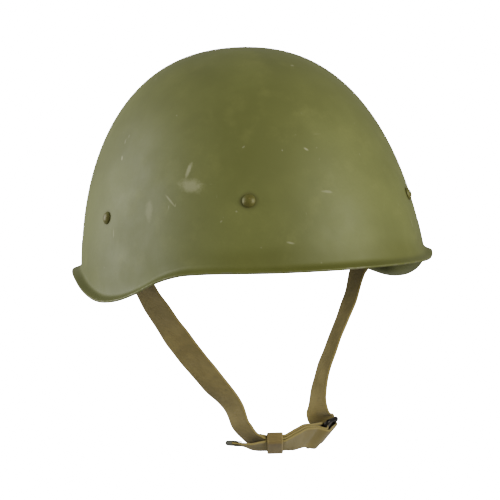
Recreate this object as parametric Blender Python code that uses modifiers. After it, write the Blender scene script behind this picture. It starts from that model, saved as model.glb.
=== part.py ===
"""Pressed steel combat helmet with a webbing chin strap, for Blender 4.5.

Metres, +Z up, the helmet's front towards -Y and the wearer's left at +X.
The origin is the underside of the crown, where a head carries the helmet.
"""

import math

import bmesh
import bpy
from mathutils import Matrix, Vector

# driving sizes: shell
CROWN_HEIGHT = 0.146
HALF_LENGTH = 0.1331
HALF_WIDTH = 0.1129
STEEL = 0.0013
BELLY_DROP = 0.0432
CROWN_POWER = 2.34
FRONT_LEAN = 0.0078
FRONT_LEAN_POWER = 1.87
LIP_WIDTH = 0.0060
LIP_DROP = 0.0046
EAR_DROP = 0.0195
# the visor's left corner is bent up by this much
LEFT_RISE = 0.0036

# driving sizes: rivets and strap hangers
RIVET_HEAD = 0.0082
RIVET_DOME = 0.0022
RIVET_SHANK = 0.0040
RIVET_FOOT = 0.0088
FOOT_THICK = 0.0012
TAB_WIDE = 0.012
TAB_THICK = 0.0012
RING_WIRE = 0.0011
CLEARANCE = 0.0003
FOOT_OFF = 0.0006
TAB_OFF = 0.0010

# driving sizes: chin strap
STRAP_WIDE = 0.020
STRAP_THICK = 0.0015
LAYER_GAP = 0.0004
BUCKLE_WIRE = 0.0015
BUCKLE_REACH = 0.013
KEEPER_LONG = 0.011
KEEPER_WALL = 0.0012
TIP_LONG = 0.007
TIP_WALL = 0.0006
CHIN_TURN = math.radians(32.3)

AROUND = 60
DOME_RINGS = 18

SEAT_Z = CROWN_HEIGHT - STEEL

# height of the rim's edge round half the helmet: degrees from the front,
# share of EAR_DROP below the visor's edge
RIM = [
    (0, 0.00),
    (30, 0.01),
    (44, 0.00),
    (51, 0.02),
    (57, 0.08),
    (64, 0.29),
    (72, 0.67),
    (80, 0.93),
    (89, 1.00),
    (98, 0.80),
    (110, 0.40),
    (124, 0.22),
    (142, 0.26),
    (180, 0.29),
]

# section of the rolled-out lip: share of lip width out, share of lip drop down
LIP = [
    (0.05, 0.26),
    (0.18, 0.50),
    (0.40, 0.69),
    (0.70, 0.85),
    (1.00, 1.00),
]

# lip width round half the helmet: degrees from the front, share of LIP_WIDTH
LIP_ROUND = [(0, 0.84), (45, 0.84), (80, 1.00), (110, 1.06), (135, 1.18), (180, 1.10)]

# rivets: name, degrees round the shell from the front, height over the visor
RIVETS = [
    ("front_left", 35.3, 0.0417),
    ("front_right", -35.3, 0.0417),
    ("side_left", 88.2, 0.0330),
    ("side_right", -88.2, 0.0330),
    ("rear_left", 143.0, 0.0380),
    ("rear_right", -143.0, 0.0380),
]

for old in list(bpy.data.objects):
    bpy.data.objects.remove(old, do_unlink=True)
helmet = bpy.data.collections.new("combat_helmet")
bpy.context.scene.collection.children.link(helmet)
cutters = bpy.data.collections.new("helmet_cutters")
bpy.context.scene.collection.children.link(cutters)


def material(name, colour, metallic, roughness):
    made = bpy.data.materials.new(name)
    made.use_nodes = True
    shader = made.node_tree.nodes["Principled BSDF"]
    shader.inputs["Base Color"].default_value = (*colour, 1.0)
    shader.inputs["Metallic"].default_value = metallic
    shader.inputs["Roughness"].default_value = roughness
    made.diffuse_color = (*colour, 1.0)
    return made


OLIVE = (0.125, 0.130, 0.060)
KHAKI = (0.170, 0.135, 0.055)
DARK_STEEL = (0.045, 0.043, 0.040)
GREY_STEEL = (0.22, 0.22, 0.20)


def table_value(table, at):
    """Smooth reading of a two-column table at one place."""
    places = [row[0] for row in table]
    values = [row[1] for row in table]
    slopes = []
    for i in range(len(table)):
        low = max(i - 1, 0)
        high = min(i + 1, len(table) - 1)
        slopes.append((values[high] - values[low]) / (places[high] - places[low]))
    slopes[0] = 0.0
    slopes[-1] = 0.0
    at = min(max(at, places[0]), places[-1])
    i = max(k for k in range(len(table) - 1) if places[k] <= at)
    span = places[i + 1] - places[i]
    s = (at - places[i]) / span
    return (
        values[i] * (2 * s**3 - 3 * s**2 + 1)
        + slopes[i] * span * (s**3 - 2 * s**2 + s)
        + values[i + 1] * (3 * s**2 - 2 * s**3)
        + slopes[i + 1] * span * (s**3 - s**2)
    )


def rim_height(turn):
    """Height of the rim's edge over the visor's edge, turn in radians from the front."""
    degrees = abs(math.degrees(turn))
    bent_up = LEFT_RISE * math.exp(-(((degrees - 50) / 9) ** 2)) if turn > 0 else 0.0
    return bent_up - EAR_DROP * table_value(RIM, degrees)


def lip_width(turn):
    return LIP_WIDTH * table_value(LIP_ROUND, abs(math.degrees(turn)))


def wall_point(turn, height, out=0.0):
    """Point on the outer face of the wall, height over the visor's edge."""
    share = (height + BELLY_DROP) / (CROWN_HEIGHT + BELLY_DROP)
    share = min(max(share, 0.0), 1.0)
    level = BELLY_DROP / (CROWN_HEIGHT + BELLY_DROP)
    reach = (1 - share**CROWN_POWER) ** (1 / CROWN_POWER)
    reach = reach / (1 - level**CROWN_POWER) ** (1 / CROWN_POWER)
    lean = FRONT_LEAN * max(1 - height / CROWN_HEIGHT, 0.0) ** FRONT_LEAN_POWER
    across = math.sin(turn) / HALF_WIDTH
    along = math.cos(turn) / HALF_LENGTH
    length = math.hypot(across, along)
    x = HALF_WIDTH * reach * math.sin(turn) + out * across / length
    y = -lean - HALF_LENGTH * reach * math.cos(turn) - out * along / length
    return Vector((x, y, height - SEAT_Z))


def shell_point(turn, ring):
    """Ring 0 is next to the crown's pole, the last rings are the rolled-out lip."""
    foot = rim_height(turn) + LIP_DROP
    share_end = (foot + BELLY_DROP) / (CROWN_HEIGHT + BELLY_DROP)
    angle_end = math.acos(share_end ** (CROWN_POWER / 2))
    if ring < DOME_RINGS:
        angle = angle_end * ((ring + 1) / DOME_RINGS)
        share = math.cos(angle) ** (2 / CROWN_POWER)
        height = share * (CROWN_HEIGHT + BELLY_DROP) - BELLY_DROP
        return wall_point(turn, height)
    out, down = LIP[ring - DOME_RINGS]
    return wall_point(turn, foot - down * LIP_DROP, out * lip_width(turn))


def new_object(name, mesh, collection):
    made = bpy.data.objects.new(name, mesh)
    collection.objects.link(made)
    return made


def finish(made, look, angle=35.0):
    made.data.materials.clear()
    made.data.materials.append(look)
    made.data.shade_smooth()
    made.data.set_sharp_from_angle(angle=math.radians(angle))


def baked(made):
    """Plain mesh of an object with its modifiers and its placing worked in."""
    bpy.context.view_layer.update()
    depsgraph = bpy.context.evaluated_depsgraph_get()
    mesh = bpy.data.meshes.new_from_object(made.evaluated_get(depsgraph))
    mesh.transform(made.matrix_world)
    work = bmesh.new()
    work.from_mesh(mesh)
    bmesh.ops.remove_doubles(work, verts=work.verts, dist=1e-6)
    bmesh.ops.recalc_face_normals(work, faces=work.faces)
    work.to_mesh(mesh)
    work.free()
    return mesh


# shell: a UV sphere with its lower rings taken off, every vertex laid on the
# helmet's outer face, then thickened inwards
rings = DOME_RINGS + len(LIP)
work = bmesh.new()
bmesh.ops.create_uvsphere(work, u_segments=AROUND, v_segments=rings + 1, radius=1.0)
south = min(work.verts, key=lambda v: v.co.z)
bmesh.ops.delete(work, geom=[south], context="VERTS")
for vert in work.verts:
    if vert.co.z > 0.9999999:
        vert.co = Vector((0.0, 0.0, CROWN_HEIGHT - SEAT_Z))
        continue
    polar = math.acos(max(-1.0, min(1.0, vert.co.z)))
    ring = round(polar / math.pi * (rings + 1)) - 1
    turn = math.atan2(vert.co.x, -vert.co.y)
    vert.co = shell_point(turn, ring)
bmesh.ops.recalc_face_normals(work, faces=work.faces)
outer = bpy.data.meshes.new("shell")
work.to_mesh(outer)
work.free()
shell = new_object("shell", outer, helmet)
thick = shell.modifiers.new("steel", "SOLIDIFY")
thick.thickness = STEEL
thick.offset = -1.0
thick.use_even_offset = True
shell.data = baked(shell)
shell.modifiers.clear()


def rivet_frame(degrees, height):
    """Placing with its Z along the shell's outward normal at that point."""
    turn = math.radians(degrees)
    point = wall_point(turn, height)
    up = (wall_point(turn, height + 0.001) - wall_point(turn, height - 0.001)).normalized()
    side = (wall_point(turn + 0.01, height) - wall_point(turn - 0.01, height)).normalized()
    out = side.cross(up).normalized()
    if out.dot(Vector((point.x, point.y, 0.0))) < 0:
        out = -out
    up = (up - out * up.dot(out)).normalized()
    side = up.cross(out)
    placing = Matrix((side, up, out)).transposed().to_4x4()
    placing.translation = point
    return placing


def turned(name, outline, steps, collection):
    """Solid turned about Z from an outline of radius and height, open at the axis."""
    mesh = bpy.data.meshes.new(name)
    points = [(radius, 0.0, height) for radius, height in outline]
    mesh.from_pydata(points, [(i, i + 1) for i in range(len(points) - 1)], [])
    made = new_object(name, mesh, collection)
    screw = made.modifiers.new("turn", "SCREW")
    screw.axis = "Z"
    screw.angle = 2 * math.pi
    screw.steps = steps
    screw.render_steps = steps
    screw.use_merge_vertices = True
    screw.merge_threshold = 0.00002
    return made


def cut(target, cutter):
    cutter.hide_render = True
    cutter.display_type = "WIRE"
    boolean = target.modifiers.new("cut", "BOOLEAN")
    boolean.operation = "DIFFERENCE"
    boolean.solver = "EXACT"
    boolean.object = cutter


paint = material("olive_paint", OLIVE, 0.0, 0.6)
rivet_paint = material("olive_paint_rivets", OLIVE, 0.0, 0.5)
hanger_steel = material("hanger_steel", DARK_STEEL, 1.0, 0.45)
webbing_right = material("webbing_right", KHAKI, 0.0, 0.9)
webbing_left = material("webbing_left", KHAKI, 0.0, 0.9)
keeper_webbing = material("webbing_keeper", KHAKI, 0.0, 0.9)
buckle_steel = material("blackened_steel", DARK_STEEL, 1.0, 0.4)
tip_steel = material("grey_steel", GREY_STEEL, 1.0, 0.45)

for name, degrees, height in RIVETS:
    placing = rivet_frame(degrees, height)
    side_rivet = name.startswith("side")
    inside = -STEEL - FOOT_OFF
    if side_rivet:
        inside = -STEEL - TAB_OFF - TAB_THICK - CLEARANCE
    head = RIVET_HEAD / 2
    under = CLEARANCE
    outline = [(0.0, under + RIVET_DOME)]
    for k in range(1, 6):
        a = math.radians(16 * k)
        outline.append((head * math.sin(a), under + 0.0004 + (RIVET_DOME - 0.0004) * math.cos(a)))
    outline += [
        (head, under + 0.0004),
        (head, under),
        (RIVET_SHANK / 2, under),
        (RIVET_SHANK / 2, inside),
        (RIVET_FOOT / 2, inside),
        (RIVET_FOOT / 2, inside - FOOT_THICK),
        (0.0, inside - FOOT_THICK),
    ]
    rivet = turned("rivet_" + name, outline, 18, helmet)
    rivet.matrix_world = placing
    rivet.data = baked(rivet)
    rivet.modifiers.clear()
    rivet.matrix_world = Matrix.Identity(4)
    finish(rivet, rivet_paint)
    hole = turned(
        "hole_" + name,
        [
            (0.0, 0.006),
            (RIVET_SHANK / 2 + CLEARANCE, 0.006),
            (RIVET_SHANK / 2 + CLEARANCE, -0.006),
            (0.0, -0.006),
        ],
        18,
        cutters,
    )
    hole.matrix_world = placing
    hole.data = baked(hole)
    hole.modifiers.clear()
    hole.matrix_world = Matrix.Identity(4)
    cut(shell, hole)
shell.data = baked(shell)
shell.modifiers.clear()
finish(shell, paint)


def ring_path(wide, high, corner):
    """Corner-rounded rectangle of points round the origin, in X and Y."""
    points = []
    for cx, cy, start in ((1, 1, 0), (-1, 1, 90), (-1, -1, 180), (1, -1, 270)):
        for k in range(5):
            a = math.radians(start + 22.5 * k)
            x = cx * (wide / 2 - corner) + corner * math.cos(a)
            y = cy * (high / 2 - corner) + corner * math.sin(a)
            points.append((x, y, 0.0))
    return points


def wire_ring(name, points, radius, collection):
    curve = bpy.data.curves.new(name, "CURVE")
    curve.dimensions = "3D"
    curve.bevel_depth = radius
    curve.bevel_resolution = 2
    spline = curve.splines.new("POLY")
    spline.points.add(len(points) - 1)
    for slot, point in zip(spline.points, points, strict=True):
        slot.co = (*point, 1.0)
    spline.use_cyclic_u = True
    return new_object(name, curve, collection)


def boxed(name, low, high, collection):
    mesh = bpy.data.meshes.new(name)
    work = bmesh.new()
    bmesh.ops.create_cube(work, size=1.0)
    low = Vector(low)
    high = Vector(high)
    for vert in work.verts:
        vert.co = Vector(
            [(low[i] + high[i]) / 2 + vert.co[i] * (high[i] - low[i]) for i in range(3)]
        )
    work.to_mesh(mesh)
    work.free()
    return new_object(name, mesh, collection)


def joined(base, other):
    boolean = base.modifiers.new("join", "BOOLEAN")
    boolean.operation = "UNION"
    boolean.solver = "EXACT"
    boolean.object = other
    other.hide_render = True
    other.display_type = "WIRE"


# strap hangers: a steel tab under each side rivet, rolled round a wire ring
RING_WIDE = STRAP_WIDE + 2 * RING_WIRE + 0.0018
RING_LONG = 0.0125
TAB_DOWN = 0.0115
ROLL = RING_WIRE + 0.0008
RING_SWING = {"left": math.radians(14), "right": math.radians(38)}
bar_middle = {}
bar_down = {}
bar_along = {}
for side, degrees in (("left", 88.2), ("right", -88.2)):
    placing = rivet_frame(degrees, 0.0330)
    gap = -STEEL - TAB_OFF
    tab = boxed(
        "strap_hanger_" + side,
        (-TAB_WIDE / 2, -TAB_DOWN, gap - TAB_THICK),
        (TAB_WIDE / 2, 0.0062, gap),
        helmet,
    )
    hole = turned(
        "tab_hole_" + side,
        [
            (0.0, 0.006),
            (RIVET_SHANK / 2 + CLEARANCE, 0.006),
            (RIVET_SHANK / 2 + CLEARANCE, -0.006),
            (0.0, -0.006),
        ],
        18,
        cutters,
    )
    cut(tab, hole)
    roll_at = Vector((0.0, -TAB_DOWN, gap - ROLL))
    roll = turned(
        "tab_roll_" + side,
        [(0.0, TAB_WIDE / 2), (ROLL, TAB_WIDE / 2), (ROLL, -TAB_WIDE / 2), (0.0, -TAB_WIDE / 2)],
        16,
        cutters,
    )
    roll.matrix_world = Matrix.Translation(roll_at) @ Matrix.Rotation(math.pi / 2, 4, "Y")
    joined(tab, roll)
    ring = wire_ring(
        "tab_ring_" + side, ring_path(RING_WIDE, RING_LONG, 0.0022), RING_WIRE, cutters
    )
    level = placing.to_3x3().inverted() @ Vector((0, 0, -1))
    inward = -math.atan2(level.z, -level.y) + RING_SWING[side]
    down = Vector((0.0, -math.cos(inward), -math.sin(inward)))
    over = Vector((1.0, 0.0, 0.0))
    swing = Matrix((over, down, over.cross(down))).transposed().to_4x4()
    swing.translation = roll_at + down * (RING_LONG / 2 - RING_WIRE * 0.0)
    ring.matrix_world = swing
    ring_mesh = baked(ring)
    ring_solid = new_object("ring_solid_" + side, ring_mesh, cutters)
    bpy.data.objects.remove(ring, do_unlink=True)
    joined(tab, ring_solid)
    tab.matrix_world = Matrix.Identity(4)
    tab.data = baked(tab)
    tab.modifiers.clear()
    tab.data.transform(placing)
    finish(tab, hanger_steel)
    bar_middle[side] = placing @ (roll_at + down * RING_LONG)
    bar_down[side] = (placing.to_3x3() @ down).normalized()
    bar_along[side] = (placing.to_3x3() @ over).normalized()
    if bar_along[side].y > 0:
        bar_along[side] = -bar_along[side]


def chin(across, near, up):
    """Place in the chin strap's own frame, in millimetres over the visor's edge.

    Across runs along the strap's lowest stretch, near runs away from it to the front.
    """
    x = across * math.cos(CHIN_TURN) - near * math.sin(CHIN_TURN)
    y = -across * math.sin(CHIN_TURN) - near * math.cos(CHIN_TURN)
    return Vector((x, y, up - SEAT_Z * 1000)) / 1000


def facing(tilt, lean):
    """Direction of the strap's width: tilted forwards and leaned over, in degrees."""
    a = math.radians(tilt)
    b = math.radians(lean)
    flat = chin(math.cos(a) * math.sin(b), math.sin(a), math.cos(a) * math.cos(b))
    return (flat - chin(0, 0, 0)).normalized()


# buckle: a wire frame; s runs from its near bar to its far bar, w along the bars
BUCKLE_AT = chin(49.2, -18.0, -132.4)
BAR = facing(22, 37)
REACH = chin(0.62, -0.78, 0.10) - chin(0, 0, 0)
REACH = (REACH - BAR * REACH.dot(BAR)).normalized()
FRAME_UP = BAR.cross(REACH).normalized()


def at_buckle(s, n, w=0.0):
    """Place beside the buckle in mm: s from the near bar, n off the frame, w along it."""
    return BUCKLE_AT + REACH * s / 1000 + FRAME_UP * n / 1000 + BAR * w / 1000


def smooth_path(stations):
    """Rows of place and width direction, smoothed between the stations given."""
    places = [row[0] for row in stations]
    widths = [row[1] for row in stations]
    last = len(stations) - 1
    rows = []
    for i in range(last):
        p0 = places[max(i - 1, 0)]
        p1 = places[i]
        p2 = places[i + 1]
        p3 = places[min(i + 2, last)]
        length = (p2 - p1).length
        before = max((p1 - p0).length, 1e-9)
        after = max((p3 - p2).length, 1e-9)
        t1 = (p2 - p1) / length if i == 0 else ((p1 - p0) / before + (p2 - p1) / length) / 2
        t2 = (
            (p2 - p1) / length
            if i + 1 == last
            else ((p2 - p1) / length + (p3 - p2) / after) / 2
        )
        steps = max(1, math.ceil(length / 0.004))
        for k in range(steps):
            s = k / steps
            place = (
                p1 * (2 * s**3 - 3 * s**2 + 1)
                + t1 * length * (s**3 - 2 * s**2 + s)
                + p2 * (3 * s**2 - 2 * s**3)
                + t2 * length * (s**3 - s**2)
            )
            rows.append((place, widths[i].lerp(widths[i + 1], s * s * (3 - 2 * s))))
    rows.append((places[-1], widths[-1]))
    return rows


def ribbon(name, stations, look):
    rows = smooth_path(stations)
    mesh = bpy.data.meshes.new(name)
    work = bmesh.new()
    bmesh.ops.create_grid(work, x_segments=len(rows) - 1, y_segments=2, size=1.0)
    for vert in work.verts:
        i = round((vert.co.x + 1) / 2 * (len(rows) - 1))
        ahead = rows[min(i + 1, len(rows) - 1)][0] - rows[max(i - 1, 0)][0]
        ahead.normalize()
        wide = rows[i][1] - ahead * rows[i][1].dot(ahead)
        wide.normalize()
        vert.co = rows[i][0] + wide * (vert.co.y * STRAP_WIDE / 2)
    bmesh.ops.recalc_face_normals(work, faces=work.faces)
    work.to_mesh(mesh)
    work.free()
    made = new_object(name, mesh, helmet)
    solid = made.modifiers.new("webbing", "SOLIDIFY")
    solid.thickness = STRAP_THICK
    solid.offset = 0.0
    made.data = baked(made)
    made.modifiers.clear()
    finish(made, look)
    return made


def beside(rows, amount):
    """The same rows moved off the strap's face, to lie against it."""
    moved = []
    for i, (place, wide) in enumerate(rows):
        ahead = rows[min(i + 1, len(rows) - 1)][0] - rows[max(i - 1, 0)][0]
        ahead.normalize()
        across = (wide - ahead * wide.dot(ahead)).normalized()
        moved.append((place + across.cross(ahead) * amount, across))
    return moved


def round_bar(middle, first, second, radius, start, stop, wide):
    """Stations round a bar, from start to stop degrees between two directions."""
    rows = []
    for k in range(7):
        a = math.radians(start + (stop - start) * k / 6)
        rows.append((middle + (first * math.cos(a) + second * math.sin(a)) * radius, wide))
    return rows


LAY = STRAP_THICK + LAYER_GAP
WRAP = BUCKLE_WIRE + CLEARANCE + 0.0001 + STRAP_THICK / 2
RING_WRAP = RING_WIRE + CLEARANCE + 0.0001 + STRAP_THICK / 2


def hung(side):
    """Top of a strap: its sewn end, up and over the hanger's ring, and down again."""
    middle = bar_middle[side]
    down = bar_down[side]
    along = bar_along[side]
    inward = down.cross(along)
    if inward.x * middle.x > 0:
        inward = -inward
    rows = [(middle + down * 0.015 - inward * LAY * 0.55, along)]
    rows.append((middle + down * 0.009 - inward * LAY * 0.6, along))
    rows += round_bar(middle, -inward, -down, RING_WRAP, 0, 180, along)
    rows.append((middle + down * 0.009 + inward * LAY * 0.6, along))
    rows.append((middle + down * 0.015 + inward * LAY * 0.55, along))
    return rows


# right strap: from its hanger to the keeper, round the buckle's near bar and back
# stations: across, near, up in mm; tilt and lean of its width in degrees
RIGHT_DROP = [
    (-65.9, 49.0, -15.2, 46, 62),
    (-58.2, 42.0, -30.4, 38, 57),
    (-43.2, 31.0, -57.1, 28, 52),
    (-24.6, 18.0, -84.6, 32, 47),
    (-11.5, 8.0, -103.8, 46, 38),
    (-5.3, 3.0, -119.9, 46, 29),
    (2.3, 1.0, -129.4, 52, 16),
]
IN_KEEPER = [
    (11.0, 0.0, -133.3, 58, 0),
    (17.8, 0.0, -133.7, 58, 0),
    (24.5, 0.0, -133.4, 58, 0),
]
TO_BUCKLE = [
    (31.0, -2.0, -132.1, 44, 7),
    (37.5, -7.0, -131.2, 31, 20),
    (43.2, -13.0, -131.7, 25, 31),
]


def stations(table):
    return [(chin(a, n, u), facing(t, e)) for a, n, u, t, e in table]


def mixed(rows):
    """The buckle's own direction for rows beside it."""
    return [(place, BAR) for place in rows]


flat_run = beside(smooth_path(stations(IN_KEEPER + TO_BUCKLE)), 0.0)
front = stations(RIGHT_DROP) + flat_run
wrap = round_bar(BUCKLE_AT, -FRAME_UP, REACH, WRAP, 0, 180, BAR)
returned = list(reversed(beside(flat_run, LAY)))
end = beside(stations([(5.0, 0.6, -132.0, 57, 6), *IN_KEEPER]), LAY)[0]
right_path = hung("right") + front + wrap + returned + [end]
strap_right = ribbon("strap_right", right_path, webbing_right)

# left strap: from its hanger, round the buckle's far bar, under the right strap,
# through the keeper and out to its free end
LEFT_DROP = [
    (85.1, -46.0, -14.9, 62, 108),
    (78.1, -43.0, -36.0, 68, 108),
    (65.7, -38.0, -63.9, 72, 106),
    (56.2, -34.0, -86.8, 70, 98),
    (51.7, -31.0, -105.0, 58, 82),
    (51.0, -29.0, -117.0, 42, 58),
]
TAIL = [
    (5.0, 2.4, -134.6, 62, 0),
    (-2.5, 4.0, -133.2, 73, 0),
    (-8.5, 5.0, -132.0, 76, 0),
    (-14.5, 6.0, -130.9, 76, 0),
]
far_bar = at_buckle(BUCKLE_REACH * 1000, 0.0)
far_wrap = round_bar(far_bar, FRAME_UP, REACH, WRAP, 90, 180, BAR)
bar_out = (BUCKLE_REACH + WRAP) * 1000
under = list(reversed(beside(flat_run, -LAY)))
under_buckle = mixed([at_buckle(7.0, -3.4), at_buckle(0.0, -(WRAP + LAY) * 1000 - 0.2)])
left_path = (
    hung("left")
    + stations(LEFT_DROP)
    + mixed([at_buckle(bar_out, 7.5, 1.6), at_buckle(bar_out, 3.6, 0.2)])
    + far_wrap
    + under_buckle
    + under
    + stations(TAIL)
)
strap_left = ribbon("strap_left", left_path, webbing_left)

# metal tip pressed over the free end
tail_end = left_path[-1]
tail_ahead = (left_path[-1][0] - left_path[-2][0]).normalized()
tail_wide = (tail_end[1] - tail_ahead * tail_end[1].dot(tail_ahead)).normalized()
tail_face = tail_ahead.cross(tail_wide)
outer_half = STRAP_THICK / 2 + CLEARANCE + TIP_WALL
tip = boxed(
    "strap_tip",
    (-TIP_LONG, -STRAP_WIDE / 2 - CLEARANCE - TIP_WALL, -outer_half),
    (CLEARANCE + TIP_WALL, STRAP_WIDE / 2 + CLEARANCE + TIP_WALL, outer_half),
    helmet,
)
tip_room = boxed(
    "tip_room",
    (-TIP_LONG - 0.002, -STRAP_WIDE / 2 - CLEARANCE, -STRAP_THICK / 2 - CLEARANCE),
    (CLEARANCE, STRAP_WIDE / 2 + CLEARANCE, STRAP_THICK / 2 + CLEARANCE),
    cutters,
)
cut(tip, tip_room)
tip.data = baked(tip)
tip.modifiers.clear()
tip_placing = Matrix((tail_ahead, tail_wide, tail_face)).transposed().to_4x4()
tip_placing.translation = tail_end[0]
tip.data.transform(tip_placing)
finish(tip, tip_steel)

# buckle frame
BUCKLE_WIDE = STRAP_WIDE + 2 * BUCKLE_WIRE + 0.0048
buckle_ring = wire_ring(
    "buckle_ring", ring_path(BUCKLE_REACH, BUCKLE_WIDE, 0.0022), BUCKLE_WIRE, cutters
)
buckle_placing = Matrix((REACH, BAR, REACH.cross(BAR))).transposed().to_4x4()
buckle_placing.translation = BUCKLE_AT + REACH * BUCKLE_REACH / 2
buckle_ring.matrix_world = buckle_placing
buckle = new_object("buckle", baked(buckle_ring), helmet)
bpy.data.objects.remove(buckle_ring, do_unlink=True)
finish(buckle, buckle_steel, 60.0)


def outline_plate(name, outlines, half_thick, collection):
    curve = bpy.data.curves.new(name, "CURVE")
    curve.dimensions = "2D"
    curve.fill_mode = "BOTH"
    curve.extrude = half_thick
    for points in outlines:
        spline = curve.splines.new("POLY")
        spline.points.add(len(points) - 1)
        for slot, point in zip(spline.points, points, strict=True):
            slot.co = (*point, 1.0)
        spline.use_cyclic_u = True
    return new_object(name, curve, collection)


# keeper: a flat loop of webbing round all three layers
stack = 3 * STRAP_THICK + 2 * LAYER_GAP
room_wide = STRAP_WIDE + 2 * CLEARANCE + 0.0006
room_thick = stack + 2 * CLEARANCE + 0.0004
keeper_curve = outline_plate(
    "keeper_outline",
    [
        ring_path(room_wide + 2 * KEEPER_WALL, room_thick + 2 * KEEPER_WALL, 0.0018),
        ring_path(room_wide, room_thick, 0.0006),
    ],
    KEEPER_LONG / 2,
    cutters,
)
keeper_wide = facing(58, 0)
keeper_along = (chin(1, 0, 0) - chin(0, 0, 0)).normalized()
keeper_face = keeper_along.cross(keeper_wide)
keeper_placing = Matrix((keeper_wide, keeper_face, keeper_along)).transposed().to_4x4()
if keeper_placing.to_3x3().determinant() < 0:
    keeper_placing = Matrix((keeper_wide, -keeper_face, keeper_along)).transposed().to_4x4()
keeper_placing.translation = chin(17.8, 0.0, -133.6)
keeper_curve.matrix_world = keeper_placing
keeper = new_object("keeper", baked(keeper_curve), helmet)
bpy.data.objects.remove(keeper_curve, do_unlink=True)
finish(keeper, keeper_webbing)
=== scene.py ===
import math
from itertools import pairwise

import bmesh
import bpy
from mathutils import Matrix, Vector, noise


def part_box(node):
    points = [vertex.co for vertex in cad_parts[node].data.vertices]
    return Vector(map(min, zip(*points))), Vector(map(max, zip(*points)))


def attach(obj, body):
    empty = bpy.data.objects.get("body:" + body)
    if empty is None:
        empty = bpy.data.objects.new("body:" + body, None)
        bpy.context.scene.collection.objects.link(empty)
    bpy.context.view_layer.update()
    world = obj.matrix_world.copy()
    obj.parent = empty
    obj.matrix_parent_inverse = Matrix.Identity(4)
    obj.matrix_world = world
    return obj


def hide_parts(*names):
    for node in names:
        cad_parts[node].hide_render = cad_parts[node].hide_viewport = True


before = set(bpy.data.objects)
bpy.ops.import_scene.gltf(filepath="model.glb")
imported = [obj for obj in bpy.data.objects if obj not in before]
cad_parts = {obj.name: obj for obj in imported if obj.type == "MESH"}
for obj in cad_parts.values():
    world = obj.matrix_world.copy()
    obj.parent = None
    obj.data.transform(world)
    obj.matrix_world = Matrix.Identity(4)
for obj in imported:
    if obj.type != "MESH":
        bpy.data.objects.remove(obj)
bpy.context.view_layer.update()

# ---------------------------------------------------------------- shell
# The one-piece helmet bowl: 1.3 mm sheet steel, deep drawn in a press, its edge
# flared out into a narrow lip that drops over the ears. Sprayed inside and out
# with a satin olive paint, now scuffed, chipped and rubbed bare along the lip.

CROWN_HEIGHT = 0.146
HALF_LENGTH = 0.1331
HALF_WIDTH = 0.1129
STEEL = 0.0013
BELLY_DROP = 0.0432
CROWN_POWER = 2.34
FRONT_LEAN = 0.0078
FRONT_LEAN_POWER = 1.87
LIP_WIDTH = 0.0060
LIP_DROP = 0.0046
LIP_EDGE = 0.00035
EAR_DROP = 0.0195
# the visor's left corner is bent up by this much
LEFT_RISE = 0.0036
SEAT_Z = CROWN_HEIGHT - STEEL
AROUND = 216
DOME_RINGS = 60
LIP_RINGS = 12

# degrees from the front, share of EAR_DROP below the visor's edge
RIM = [
    (0, 0.00),
    (30, 0.01),
    (44, 0.00),
    (51, 0.02),
    (57, 0.08),
    (64, 0.29),
    (72, 0.67),
    (80, 0.93),
    (89, 1.00),
    (98, 0.80),
    (110, 0.40),
    (124, 0.22),
    (142, 0.26),
    (180, 0.29),
]
LIP_ROUND = [(0, 0.84), (45, 0.84), (80, 1.00), (110, 1.06), (135, 1.18), (180, 1.10)]
# the lip's section in five steps from the wall: share out, share down
LIP_OUT = [(0, 0.00), (1, 0.05), (2, 0.18), (3, 0.40), (4, 0.70), (5, 1.00)]
LIP_DOWN = [(0, 0.00), (1, 0.26), (2, 0.50), (3, 0.69), (4, 0.85), (5, 1.00)]


def eased(first, first_slope, second, second_slope, s):
    """Smooth step from the first value to the second, leaving and arriving at the slopes."""
    return (
        first * (2 * s**3 - 3 * s**2 + 1)
        + first_slope * (s**3 - 2 * s**2 + s)
        + second * (3 * s**2 - 2 * s**3)
        + second_slope * (s**3 - s**2)
    )


def table_value(table, at):
    """Smooth reading of a two-column table at one place."""
    places = [row[0] for row in table]
    values = [row[1] for row in table]
    slopes = []
    for i in range(len(table)):
        low = max(i - 1, 0)
        high = min(i + 1, len(table) - 1)
        slopes.append((values[high] - values[low]) / (places[high] - places[low]))
    slopes[0] = 0.0
    slopes[-1] = 0.0
    at = min(max(at, places[0]), places[-1])
    i = max(k for k in range(len(table) - 1) if places[k] <= at)
    span = places[i + 1] - places[i]
    s = (at - places[i]) / span
    return eased(values[i], slopes[i] * span, values[i + 1], slopes[i + 1] * span, s)


def put(tree, kind, wires=None, **settings):
    """A node with its settings, and its inputs wired or set."""
    made = tree.nodes.new(kind)
    for name, value in settings.items():
        setattr(made, name, value)
    for name, value in (wires or {}).items():
        if isinstance(value, bpy.types.NodeSocket):
            tree.links.new(value, made.inputs[name])
        else:
            made.inputs[name].default_value = value
    return made


def calc(tree, operation, first, second=None, clamp=False):
    wires = {0: first} if second is None else {0: first, 1: second}
    return put(tree, "ShaderNodeMath", wires, operation=operation, use_clamp=clamp).outputs[0]


def times(tree, first, second):
    return calc(tree, "MULTIPLY", first, second)


def plus(tree, first, second):
    return calc(tree, "ADD", first, second)


def new_tree(name, sizes):
    """Geometry Nodes tree with a mesh in and out, a material and named sizes."""
    tree = bpy.data.node_groups.new(name, "GeometryNodeTree")
    tree.interface.new_socket("Geometry", in_out="OUTPUT", socket_type="NodeSocketGeometry")
    for size, kind in [("Geometry", "Geometry"), ("Finish", "Material"), *sizes]:
        tree.interface.new_socket(size, in_out="INPUT", socket_type="NodeSocket" + kind)
    return tree, tree.nodes.new("NodeGroupInput").outputs


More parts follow.
